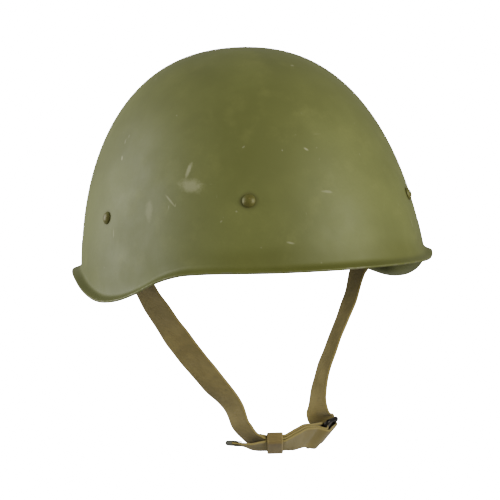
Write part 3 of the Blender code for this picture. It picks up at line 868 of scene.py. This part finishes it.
# stations: across, near, up in mm; tilt and lean of the width in degrees
RIGHT_DROP = [
    (-65.9, 49.0, -15.2, 46, 62),
    (-58.2, 42.0, -30.4, 38, 57),
    (-43.2, 31.0, -57.1, 28, 52),
    (-24.6, 18.0, -84.6, 32, 47),
    (-11.5, 8.0, -103.8, 46, 38),
    (-5.3, 3.0, -119.9, 46, 29),
    (2.3, 1.0, -129.4, 52, 16),
]
IN_KEEPER = [
    (11.0, 0.0, -133.3, 58, 0),
    (17.8, 0.0, -133.7, 58, 0),
    (24.5, 0.0, -133.4, 58, 0),
]
TO_BUCKLE = [
    (31.0, -2.0, -132.1, 44, 7),
    (37.5, -7.0, -131.2, 31, 20),
    (43.2, -13.0, -131.7, 25, 31),
]
LEFT_DROP = [
    (85.1, -46.0, -14.9, 62, 108),
    (78.1, -43.0, -36.0, 68, 108),
    (65.7, -38.0, -63.9, 72, 106),
    (56.2, -34.0, -86.8, 70, 98),
    (51.7, -31.0, -105.0, 58, 82),
    (51.0, -29.0, -117.0, 42, 58),
]
TAIL = [
    (5.0, 2.4, -134.6, 62, 0),
    (-2.5, 4.0, -133.2, 73, 0),
    (-8.5, 5.0, -132.0, 76, 0),
    (-14.5, 6.0, -130.9, 76, 0),
]
RUN_PITCH = 0.004
flat_run = beside(smooth_path(stations(IN_KEEPER + TO_BUCKLE), RUN_PITCH), 0.0)
turn_end = beside(stations([(5.0, 0.6, -132.0, 57, 6), *IN_KEEPER]), LAY)[0]
right_path = (
    hung("right")
    + stations(RIGHT_DROP)
    + flat_run
    + round_bar(BUCKLE_AT, -FRAME_UP, REACH, WRAP, 0, 180, BAR)
    + list(reversed(beside(flat_run, LAY)))
    + [turn_end]
)
bar_out = (BUCKLE_REACH + WRAP) * 1000
left_path = (
    hung("left")
    + stations(LEFT_DROP)
    + mixed([at_buckle(bar_out, 7.5, 1.6), at_buckle(bar_out, 3.6, 0.2)])
    + round_bar(at_buckle(BUCKLE_REACH * 1000, 0.0), FRAME_UP, REACH, WRAP, 90, 180, BAR)
    + mixed([at_buckle(7.0, -3.4), at_buckle(0.0, -(WRAP + LAY) * 1000 - 0.2)])
    + list(reversed(beside(flat_run, -LAY)))
    + stations(TAIL)
)

KEEPER_AT = chin(17.8, 0.0, -133.6)
STRAP_PITCH = 0.001

# where the webbing is held straight, and how far round
HELD = [
    (at_buckle(BUCKLE_REACH * 500, 0.0), 0.017),
    (KEEPER_AT, 0.014),
    (left_path[-1][0], 0.009),
    (RING_BARS["left"][0], 0.014),
    (RING_BARS["right"][0], 0.014),
]
WAVE_SCALE = 60.0
WAVE_HIGH = 0.0007
WAVE_RISE = 0.010
# without a seed of its own the noise starts somewhere else in each run
noise.seed_set(7)


def rumpled(place):
    """Soft waves of worn webbing, which die out where it is held."""
    loose = 1.0
    for held, radius in HELD:
        share = min(max(((place - held).length - radius) / WAVE_RISE, 0.0), 1.0)
        loose = min(loose, share * share * (3 - 2 * share))
    return place + noise.noise_vector(place * WAVE_SCALE) * WAVE_HIGH * loose


# the selvedge's breadth; how far in and how thin it starts to round
SELVEDGE = 0.0008
EDGE_IN = 0.0003
EDGE_THIN = 0.40


def webbing_section(wide, thick):
    """Section of the webbing: flat faces, a thin rounded selvedge on each edge."""
    half = wide / 2
    flat = [-half + SELVEDGE + (wide - 2 * SELVEDGE) * k / 10 for k in range(11)]
    near, low = half - EDGE_IN, thick * EDGE_THIN
    section = [(w, thick / 2) for w in flat]
    section += [(near, low), (half, 0.0), (near, -low)]
    section += [(w, -thick / 2) for w in reversed(flat)]
    section += [(-near, -low), (-half, 0.0), (-near, low)]
    return section


def runs_of(places):
    """Length along the places up to each one, in mm."""
    runs = [0.0]
    for before, here in pairwise(places):
        runs.append(runs[-1] + (here - before).length * 1000)
    return runs


def cloth(name, hoops, runs, section, look):
    """Webbing skinned over hoops of places, with its own weave coordinates in mm. With
    one run more than hoops it closes on itself; otherwise both its ends are capped."""
    work = bmesh.new()
    weave = work.loops.layers.uv.new("weave")
    loops = [[work.verts.new(at) for at in hoop] for hoop in hoops]
    closed = len(runs) > len(hoops)
    if closed:
        loops.append(loops[0])
    count = len(section)
    for i in range(len(loops) - 1):
        for k in range(count):
            j = (k + 1) % count
            corners = ((i, k), (i, j), (i + 1, j), (i + 1, k))
            made = work.faces.new([loops[row][point] for row, point in corners])
            for loop, (row, point) in zip(made.loops, corners, strict=True):
                loop[weave].uv = (runs[row], section[point][0] * 1000)
    for row in () if closed else (0, len(loops) - 1):
        cap = work.faces.new(loops[row] if row else list(reversed(loops[row])))
        for loop in cap.loops:
            w, t = section[loops[row].index(loop.vert)]
            loop[weave].uv = (runs[row] + t * 1000, w * 1000)
    bmesh.ops.recalc_face_normals(work, faces=work.faces)
    mesh = mesh_of(work, name)
    mesh.materials.append(look)
    made = shown(name, mesh)
    smooth(made, 70)
    return made


def woven_strip(name, rows, wide, thick, look):
    """Webbing swept along its rows."""
    section = webbing_section(wide, thick)
    hoops = []
    for i, (place, _) in enumerate(rows):
        _, across, face = frame_at(rows, i)
        hoops.append([rumpled(place + across * w + face * t) for w, t in section])
    return cloth(name, hoops, runs_of([row[0] for row in rows]), section, look)


def webbing_look(name, light, dark, soiled_and_shade, wide):
    """Ribbed cotton webbing: warp yarns along, weft ribs across, fuzz and grime; painted shade
    in the weave's hollows, and darker towards the top as a painted shadow of the shell mixed
    with grime.
    """
    made, tree, shader, place = surface(name)
    shader.inputs["Sheen Weight"].default_value = 0.12
    shader.inputs["Sheen Roughness"].default_value = 0.6
    shader.inputs["Specular IOR Level"].default_value = 0.25
    uv = put(tree, "ShaderNodeUVMap", uv_map="weave").outputs[0]
    split = put(tree, "ShaderNodeSeparateXYZ", {0: uv})
    along, across = split.outputs[0], split.outputs[1]
    wobble = times(tree, cloud(tree, place, 260.0, 2.0), 1.6)
    weft = calc(tree, "SINE", plus(tree, times(tree, along, 5.2), wobble))
    warp = calc(tree, "SINE", plus(tree, times(tree, across, 6.6), wobble))
    checks = times(tree, weft, warp)
    ribs = plus(tree, times(tree, weft, 0.45), checks)
    ribs = ramp(tree, ribs, -1.2, 1.2)
    fuzz = cloud(tree, place, 2600.0, 3.0, 0.7)
    grime = cloud(tree, place, 42.0, 4.0, 0.6)
    colour = tint(tree, ramp(tree, grime, 0.36, 0.66), dark, light)
    # painted shade in the weave's hollows
    colour = tint(tree, ramp(tree, ribs, 0.0, 0.55, 0.55, 0.0), colour, soiled_and_shade)
    colour = tint(tree, ramp(tree, fuzz, 0.45, 0.8, 0.0, 0.35), colour, brighter(light, 1.5))
    edge = calc(tree, "ABSOLUTE", across)
    edge = ramp(tree, edge, wide * 500 - 1.4, wide * 500 - 0.2, 0.0, 0.5)
    colour = tint(tree, edge, colour, brighter(light, 1.35))
    stain = ramp(tree, cloud(tree, place, 95.0, 5.0, 0.65), 0.60, 0.72, 0.0, 0.5)
    colour = tint(tree, stain, colour, soiled_and_shade)
    # darker towards the top, near the shell: painted shadow of the shell, with grime
    level = put(tree, "ShaderNodeSeparateXYZ", {0: place}).outputs[2]
    colour = tint(tree, ramp(tree, level, -0.195, -0.145, 0.0, 0.50), colour, soiled_and_shade)
    rough = ramp(tree, grime, 0.3, 0.7, 0.95, 0.78)
    height = plus(tree, ribs, times(tree, fuzz, 0.4))
    finished(tree, shader, colour, rough, height, 0.22)
    return made


KHAKI = (0.224, 0.173, 0.044, 1)
KHAKI_DARK = (0.155, 0.120, 0.030, 1)
# dark colour for stains, and for painted shade in the weave and under the shell
KHAKI_SOILED_AND_SHADE = (0.058, 0.043, 0.012, 1)
webbing = webbing_look("cotton_webbing", KHAKI, KHAKI_DARK, KHAKI_SOILED_AND_SHADE, STRAP_WIDE)
strap_rows = {}
for side, path in (("right", right_path), ("left", left_path)):
    rows = smooth_path(path, STRAP_PITCH)
    strap_rows[side] = rows
    strap = woven_strip("webbing_" + side, rows, STRAP_WIDE, STRAP_THICK, webbing)
    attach(strap, "root")
    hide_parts("strap_" + side)

# ---------------------------------------------------------------- stitching
# Lock stitches in waxed olive-brown thread: a box with a cross-bar below each
# hanger ring, and a row across the right strap's end, inside the keeper's mouth.


def seam(rows, start, pattern, amount):
    """Seam lines on a strap's face: pattern rows of (mm along from start, mm across)."""
    runs = runs_of([row[0] for row in rows])
    lines = []
    for line in pattern:
        points = []
        for (a0, w0), (a1, w1) in pairwise(line):
            pieces = max(1, math.ceil(math.hypot(a1 - a0, w1 - w0)))
            for k in range(pieces + 1):
                a = start + a0 + (a1 - a0) * k / pieces
                w = w0 + (w1 - w0) * k / pieces
                i = min(range(len(runs)), key=lambda n: abs(runs[n] - a))
                ahead, across, face = frame_at(rows, i)
                at = rows[i][0] + ahead * (a - runs[i]) / 1000 + across * w / 1000
                points.append(rumpled(at + face * amount))
        lines.append(points)
    return lines


BOX = [[(0, -7.5), (9, -7.5), (9, 7.5), (0, 7.5), (0, -7.5)], [(4.5, -7.5), (4.5, 7.5)]]
ROW = [[(0, -8), (0, 8)]]
# the rows' places along a strap, in mm: on each side of its ring, and off its end
BOX_STARTS = (3.0, 24.0)
ROW_BACK = 1.8
stitched = []
for side, rows in strap_rows.items():
    sewn_at = [(start, BOX) for start in BOX_STARTS]
    if side == "right":
        sewn_at.append((runs_of([row[0] for row in rows])[-1] - ROW_BACK, ROW))
    for start, pattern in sewn_at:
        for sign in (1, -1):
            stitched += seam(rows, start, pattern, sign * STRAP_THICK / 2)
lines = bpy.data.meshes.new("stitches")
points = []
edges = []
for line in stitched:
    first = len(points)
    points += [tuple(p) for p in line]
    edges += [(first + k, first + k + 1) for k in range(len(line) - 1)]
lines.from_pydata(points, edges, [])

STITCH_SIZES = {"Pitch": 0.0026, "Thread radius": 0.00028, "Stitch length": 0.0021}
sewing, given = new_tree("lock_stitch", [(size, "Float") for size in STITCH_SIZES])
wires = {"Geometry": given["Geometry"], "Distance": 0.00001}
merged = put(sewing, "GeometryNodeMergeByDistance", wires).outputs[0]
path = put(sewing, "GeometryNodeMeshToCurve", {"Mesh": merged}).outputs[0]
wires = {"Curve": path, "Length": given["Pitch"]}
path = put(sewing, "GeometryNodeResampleCurve", wires, mode="LENGTH").outputs[0]
wires = {"Segments": 8, "Rings": 6, "Radius": given["Thread radius"]}
thread = put(sewing, "GeometryNodeMeshUVSphere", wires).outputs[0]
breadth = times(sewing, given["Thread radius"], 2.0)
stretch = calc(sewing, "DIVIDE", given["Stitch length"], breadth)
size = put(sewing, "ShaderNodeCombineXYZ", {0: 1.0, 1: 1.0, 2: stretch}).outputs[0]
tangent = put(sewing, "GeometryNodeInputTangent").outputs[0]
wires = {0: (-0.10, -0.10, -0.10), 1: (0.10, 0.10, 0.10), "Seed": 7}
shake = put(sewing, "FunctionNodeRandomValue", wires, data_type="FLOAT_VECTOR").outputs[0]
pull = put(sewing, "ShaderNodeVectorMath", {0: tangent, 1: shake}, operation="ADD").outputs[0]
lay = put(sewing, "FunctionNodeAlignRotationToVector", {"Vector": pull}, axis="Z").outputs[0]
wires = {"Points": path, "Instance": thread, "Rotation": lay, "Scale": size}
sewn = put(sewing, "GeometryNodeInstanceOnPoints", wires).outputs[0]
close_tree(sewing, sewn, given["Finish"])


THREAD = (0.20, 0.17, 0.075, 1)
THREAD_DARK = (0.105, 0.085, 0.035, 1)


def thread_look():
    made, tree, shader, place = surface("waxed_thread")
    fibre = cloud(tree, place, 3000.0, 3.0, 0.6)
    grime = cloud(tree, place, 120.0, 3.0)
    colour = tint(tree, ramp(tree, grime, 0.35, 0.7), THREAD_DARK, THREAD)
    finished(tree, shader, colour, ramp(tree, fibre, 0.3, 0.7, 0.6, 0.8), fibre, 0.04)
    return made


stitches = shown("stitches", lines)
run_tree(stitches, sewing, {"Finish": thread_look(), **STITCH_SIZES})
set_plain(stitches)
stitches.data.shade_smooth()
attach(stitches, "root")

# ---------------------------------------------------------------- buckle
# A plain rectangular frame bent from 3 mm steel wire and chemically blackened,
# rubbed to bare metal where the webbing runs over its bars.

BUCKLE_PLAY = 0.0048
buckle_wide = STRAP_WIDE + 2 * BUCKLE_WIRE + BUCKLE_PLAY
placing = placed(REACH, BAR, REACH.cross(BAR), BUCKLE_AT + REACH * BUCKLE_REACH / 2)
bent = ring_path(BUCKLE_REACH, buckle_wide, WIRE_CORNER, 10)
buckle_mesh = bent_wire("buckle_frame", bent, BUCKLE_WIRE, placing)
look = dark_steel("blackened_steel", (0.022, 0.020, 0.018, 1), (0.20, 0.18, 0.15, 1), 0.32)
buckle_mesh.materials.append(look)
buckle = shown("buckle_frame", buckle_mesh)
buckle_mesh.shade_smooth()
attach(buckle, "root")
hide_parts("buckle")

# ---------------------------------------------------------------- keeper
# A loop of narrower brown webbing, sewn end to end, that slides on the strap and
# holds its three layers together.

KEEPER_LONG = 0.011
KEEPER_WALL = 0.0012
KEEPER_CORNER = 0.0015
KEEPER_PITCH = 0.0012
PLAY_WIDE = 0.0006
PLAY_THICK = 0.0004
room_wide = STRAP_WIDE + 2 * CLEARANCE + PLAY_WIDE
room_thick = 3 * STRAP_THICK + 2 * LAYER_GAP + 2 * CLEARANCE + PLAY_THICK
keeper_wide = facing(58, 0)
keeper_along = (chin(1, 0, 0) - chin(0, 0, 0)).normalized()
keeper_face = keeper_along.cross(keeper_wide)
loop_rows = []
loop = ring_path(room_wide + KEEPER_WALL, room_thick + KEEPER_WALL, KEEPER_CORNER, 6)
for k in range(len(loop)):
    here = Vector(loop[k])
    ahead = Vector(loop[(k + 1) % len(loop)]) - here
    pieces = max(1, math.ceil(ahead.length / KEEPER_PITCH))
    for n in range(pieces):
        at = here + ahead * n / pieces
        loop_rows.append(KEEPER_AT + keeper_wide * at.x + keeper_face * at.y)
section = webbing_section(KEEPER_LONG, KEEPER_WALL)
hoops = []
for i, place in enumerate(loop_rows):
    ahead = (loop_rows[(i + 1) % len(loop_rows)] - loop_rows[i - 1]).normalized()
    face = ahead.cross(keeper_along)
    hoops.append([place + keeper_along * w + face * t for w, t in section])
BROWN = (0.205, 0.150, 0.040, 1)
BROWN_DARK = (0.150, 0.108, 0.030, 1)
# dark colour for stains, and for painted shade in the weave
BROWN_SOILED_AND_SHADE = (0.060, 0.042, 0.018, 1)
look = webbing_look("keeper_webbing", BROWN, BROWN_DARK, BROWN_SOILED_AND_SHADE, KEEPER_LONG)
keeper = cloth("keeper_loop", hoops, runs_of([*loop_rows, loop_rows[0]]), section, look)
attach(keeper, "root")
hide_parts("keeper")

# ---------------------------------------------------------------- strap tip
# A strip of grey plated steel folded over the strap's free end and crimped, so
# that the webbing doesn't fray.

TIP_LONG = 0.007
TIP_WALL = 0.0006
TIP_PINCH = 0.00022
tail_end = left_path[-1]
tail_ahead = (left_path[-1][0] - left_path[-2][0]).normalized()
tail_wide = (tail_end[1] - tail_ahead * tail_end[1].dot(tail_ahead)).normalized()
middle = STRAP_THICK / 2 + CLEARANCE + TIP_WALL / 2
half_wide = STRAP_WIDE / 2 + CLEARANCE + TIP_WALL
fold_at = CLEARANCE + TIP_WALL / 2 - middle
placing = placed(tail_wide, tail_ahead, tail_wide.cross(tail_ahead), tail_end[0])
rows = []
for way in (1, -1):
    flat = []
    for k in range(9):
        y = -TIP_LONG + (fold_at + TIP_LONG) * k / 9
        pinch = TIP_PINCH if k in (3, 4) else 0.0
        flat.append((y, way * (middle - pinch), (0, way), TIP_WALL / 2, half_wide))
    turn_over = []
    for k in range(7):
        a = math.radians(15 * k)
        ny, nz = math.sin(a), way * math.cos(a)
        turn_over.append((fold_at + middle * ny, middle * nz, (ny, nz), TIP_WALL / 2, half_wide))
    half = flat + turn_over
    rows += half if way == 1 else list(reversed(half))[1:]
work = bmesh.new()
bent_sheet(work, rows, 12, placing)
bmesh.ops.recalc_face_normals(work, faces=work.faces)
tip_mesh = mesh_of(work, "tip_cap")
look = dark_steel("grey_plate", (0.055, 0.056, 0.040, 1), (0.11, 0.108, 0.085, 1), 0.52)
tip_mesh.materials.append(look)
tip = shown("tip_cap", tip_mesh)
round_edges(tip, SHEET_EDGE, 55)
smooth(tip, 40)
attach(tip, "root")
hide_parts("strap_tip")

# ---------------------------------------------------------------- studio
# Plain pale floor well under the hanging strap, even white surroundings, a large
# soft box on the left and one on the right, and the camera.

FLOOR_Z = -1.6
FLOOR_HALF = 30.0
WHITE_SEEN = 18.0
WHITE_CAST = 0.42

sides = ((-1, -1), (1, -1), (1, 1), (-1, 1))
corners = [(x * FLOOR_HALF, y * FLOOR_HALF, FLOOR_Z) for x, y in sides]
floor_mesh = bpy.data.meshes.new("floor")
floor_mesh.from_pydata(corners, [], [(0, 1, 2, 3)])
floor_look, _, shader, _ = surface("pale_floor")
shader.inputs["Base Color"].default_value = (0.86, 0.86, 0.86, 1)
shader.inputs["Roughness"].default_value = 0.9
floor_mesh.materials.append(floor_look)
floor = shown("floor", floor_mesh)
floor.is_shadow_catcher = True

world = bpy.data.worlds.new("studio")
world.use_nodes = True
seen = put(world.node_tree, "ShaderNodeLightPath").outputs["Is Camera Ray"]
bright = ramp(world.node_tree, seen, 0.0, 1.0, WHITE_CAST, WHITE_SEEN)
world.node_tree.links.new(bright, world.node_tree.nodes["Background"].inputs[1])
world.node_tree.nodes["Background"].inputs[0].default_value = (1.0, 1.0, 1.0, 1)
bpy.context.scene.world = world

# what the lights aim at, and the camera's own ways, fitted to the photo's outline
CENTRE = Vector((0.0, 0.0, -0.10))
SIGHT = Vector((0.53376511, 0.84357789, -0.05891647))
RIGHTWARDS = Vector((0.84344526, -0.53609876, -0.03461521))
UPWARDS = Vector((0.06078567, 0.03121642, 0.99766259))
CAMERA_AT = Vector((-0.42938, -0.68756, -0.09195))
LENS = 82.82


def soft_box(name, degrees, lift, apart, wide, high, watts):
    """Area light aimed at the helmet, so many degrees to the right of the camera."""
    a = math.radians(degrees)
    b = math.radians(lift)
    flat = -SIGHT * math.cos(a) + RIGHTWARDS * math.sin(a)
    way = (flat * math.cos(b) + Vector((0, 0, 1)) * math.sin(b)).normalized()
    lamp = bpy.data.lights.new(name, "AREA")
    lamp.shape = "RECTANGLE"
    lamp.size = wide
    lamp.size_y = high
    lamp.energy = watts
    made = shown(name, lamp)
    made.location = CENTRE + way * apart
    made.rotation_euler = (-way).to_track_quat("-Z", "Y").to_euler()


soft_box("soft_box_left", -92.0, 10.0, 1.5, 1.1, 1.2, 31.5)
soft_box("soft_box_right", 50.0, 12.0, 1.5, 0.8, 1.1, 30.0)

camera_data = bpy.data.cameras.new("camera")
camera_data.lens = LENS
camera_data.sensor_width = 36.0
camera_data.clip_start = 0.05
camera = shown("camera", camera_data)
camera.matrix_world = placed(RIGHTWARDS, UPWARDS, -SIGHT, CAMERA_AT)
bpy.context.scene.camera = camera
